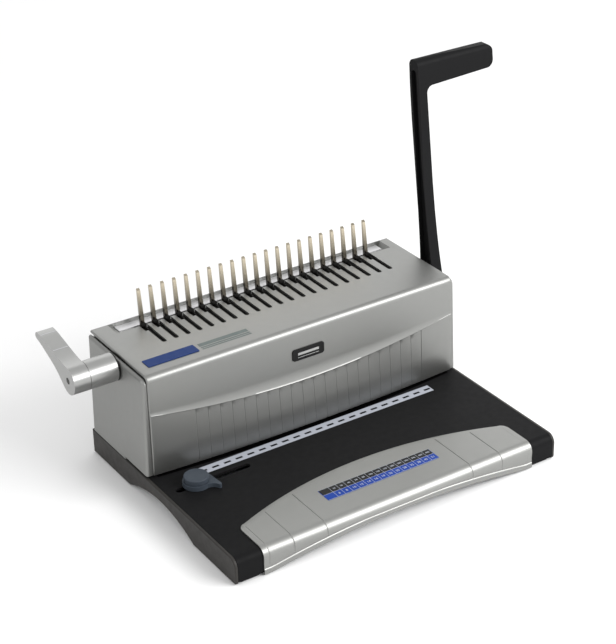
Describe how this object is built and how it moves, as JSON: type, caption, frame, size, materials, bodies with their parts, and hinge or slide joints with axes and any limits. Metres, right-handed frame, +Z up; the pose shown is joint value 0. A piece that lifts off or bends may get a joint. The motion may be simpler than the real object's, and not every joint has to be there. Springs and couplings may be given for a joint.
{
  "type": "comb binding machine",
  "caption": "Manual comb punch and binder: flat table with a paper throat, side handle that drives the punch, finger row with sliding hooks and an opener lever.",
  "frame": {"origin": "on the surface that the machine stands on, at the centre of the base's footprint", "axes": "+X along the machine to the punch handle, +Y from the operator's edge to the back, +Z up"},
  "size_m": [0.5542, 0.308, 0.3671],
  "materials": {
    "black_base": "fine-grained black moulding",
    "dark_cheek": "fine-grained dark grey moulding",
    "silver_housing": "silver metallic paint, satin",
    "silver_fascia": "silver metallic paint, satin",
    "silver_lever": "silver metallic paint, satin",
    "black_handle": "matte moulded plastic",
    "black_trim": "satin",
    "blue_plate": "printed plate under clear lacquer",
    "chart_print": "printed label",
    "grey_print": "printed stripes",
    "white_print": "printed strip",
    "bright_strip": "bright foil",
    "nickel_steel": "nickel plated",
    "rubber": "moulded rubber",
    "knob_grey": "slate grey moulding",
    "black_oxide": "black oxide",
    "zinc_sheet": "zinc plated sheet",
    "tool_steel": "ground, oiled",
    "spring_steel": "drawn wire",
    "bush_bronze": "sintered bronze",
    "screw_steel": "zinc plated",
    "white_plastic": "acetal",
    "smoke_plastic": "moulded"
  },
  "bodies": {
    "frame": {"base_table": "black_base", "left_cheek": "dark_cheek", "right_cheek": "dark_cheek", "front_fascia": "silver_fascia", "bottom_plate": "zinc_sheet", "rear_skirt": "black_base", "rubber_feet": "rubber", "foot_screws": "screw_steel", "hole_strip": "white_print", "size_chart": "chart_print", "housing_cover": "silver_housing", "left_end_cover": "silver_housing", "right_end_cover": "silver_housing", "rear_cover": "silver_housing", "rear_cover_screws": "screw_steel", "comb_rest_strip": "bright_strip", "blue_plate": "blue_plate", "grey_label": "grey_print", "front_badge": "black_trim", "left_frame_plate": "zinc_sheet", "right_frame_plate": "zinc_sheet", "frame_screws": "screw_steel", "die_plate": "tool_steel", "stripper_plate": "tool_steel", "paper_stop": "tool_steel", "upper_crossbar": "tool_steel", "plate_screws": "screw_steel", "guide_rods": "tool_steel", "return_springs": "spring_steel", "comb_fingers": "nickel_steel", "finger_bar": "tool_steel", "drive_bushes": "bush_bronze", "opener_bushes": "bush_bronze", "slide_rails": "white_plastic"},
    "punch_handle": {"punch_handle": "black_handle", "handle_screw": "screw_steel", "handle_cap": "black_handle", "handle_spacer": "black_trim", "drive_shaft": "tool_steel", "drive_pinions": "tool_steel", "drive_ring": "spring_steel"},
    "punch_bar": {"punch_bar": "tool_steel", "punch_pins": "tool_steel", "drive_racks": "tool_steel", "rack_screws": "screw_steel"},
    "opener_lever": {"opener_lever": "silver_lever", "opener_screw": "screw_steel", "opener_collar": "silver_lever", "opener_seal_ring": "black_trim", "opener_shaft": "tool_steel", "opener_pinions": "tool_steel", "opener_ring": "spring_steel"},
    "hook_slide": {"hook_slide": "black_oxide", "opening_hooks": "black_oxide"},
    "edge_guide": {"edge_guide": "knob_grey", "guide_nut": "screw_steel"},
    "guide_knob": {"guide_knob": "knob_grey", "guide_bolt": "screw_steel"},
    "chip_tray": {"chip_tray": "smoke_plastic"}
  },
  "joints": [
    {"name": "punch_handle_turn", "type": "hinge", "parent": "frame", "child": "punch_handle", "pos_m": [0.2, 0.086, 0.08], "axis": [1, 0, 0], "range_deg": [0, 90]},
    {"name": "punch_bar_drop", "type": "slide", "parent": "frame", "child": "punch_bar", "axis": [0, 0, -1], "range_m": [0, 0.01414], "stiffness_N_per_m": 2000, "springref_m": -0.012, "deforming": ["return_springs"]},
    {"name": "opener_lever_turn", "type": "hinge", "parent": "frame", "child": "opener_lever", "pos_m": [-0.2, 0.088, 0.133], "axis": [1, 0, 0], "range_deg": [0, 180]},
    {"name": "hook_slide_run", "type": "slide", "parent": "frame", "child": "hook_slide", "axis": [0, -1, 0], "range_m": [0, 0.03268]},
    {"name": "edge_guide_slide", "type": "slide", "parent": "frame", "child": "edge_guide", "axis": [1, 0, 0], "range_m": [-0.02, 0.06]},
    {"name": "guide_knob_turn", "type": "hinge", "parent": "edge_guide", "child": "guide_knob", "pos_m": [-0.1603, -0.0103, 0.036], "axis": [0, 0, 1], "range_deg": [0, 180]},
    {"name": "chip_tray_pull", "type": "slide", "parent": "frame", "child": "chip_tray", "axis": [0, 1, 0], "range_m": [0, 0.105]}
  ],
  "couplings": [
    {"joint": "punch_bar_drop", "follows": "punch_handle_turn", "m_per_rad": 0.009},
    {"joint": "hook_slide_run", "follows": "opener_lever_turn", "m_per_rad": 0.0104}
  ]
}
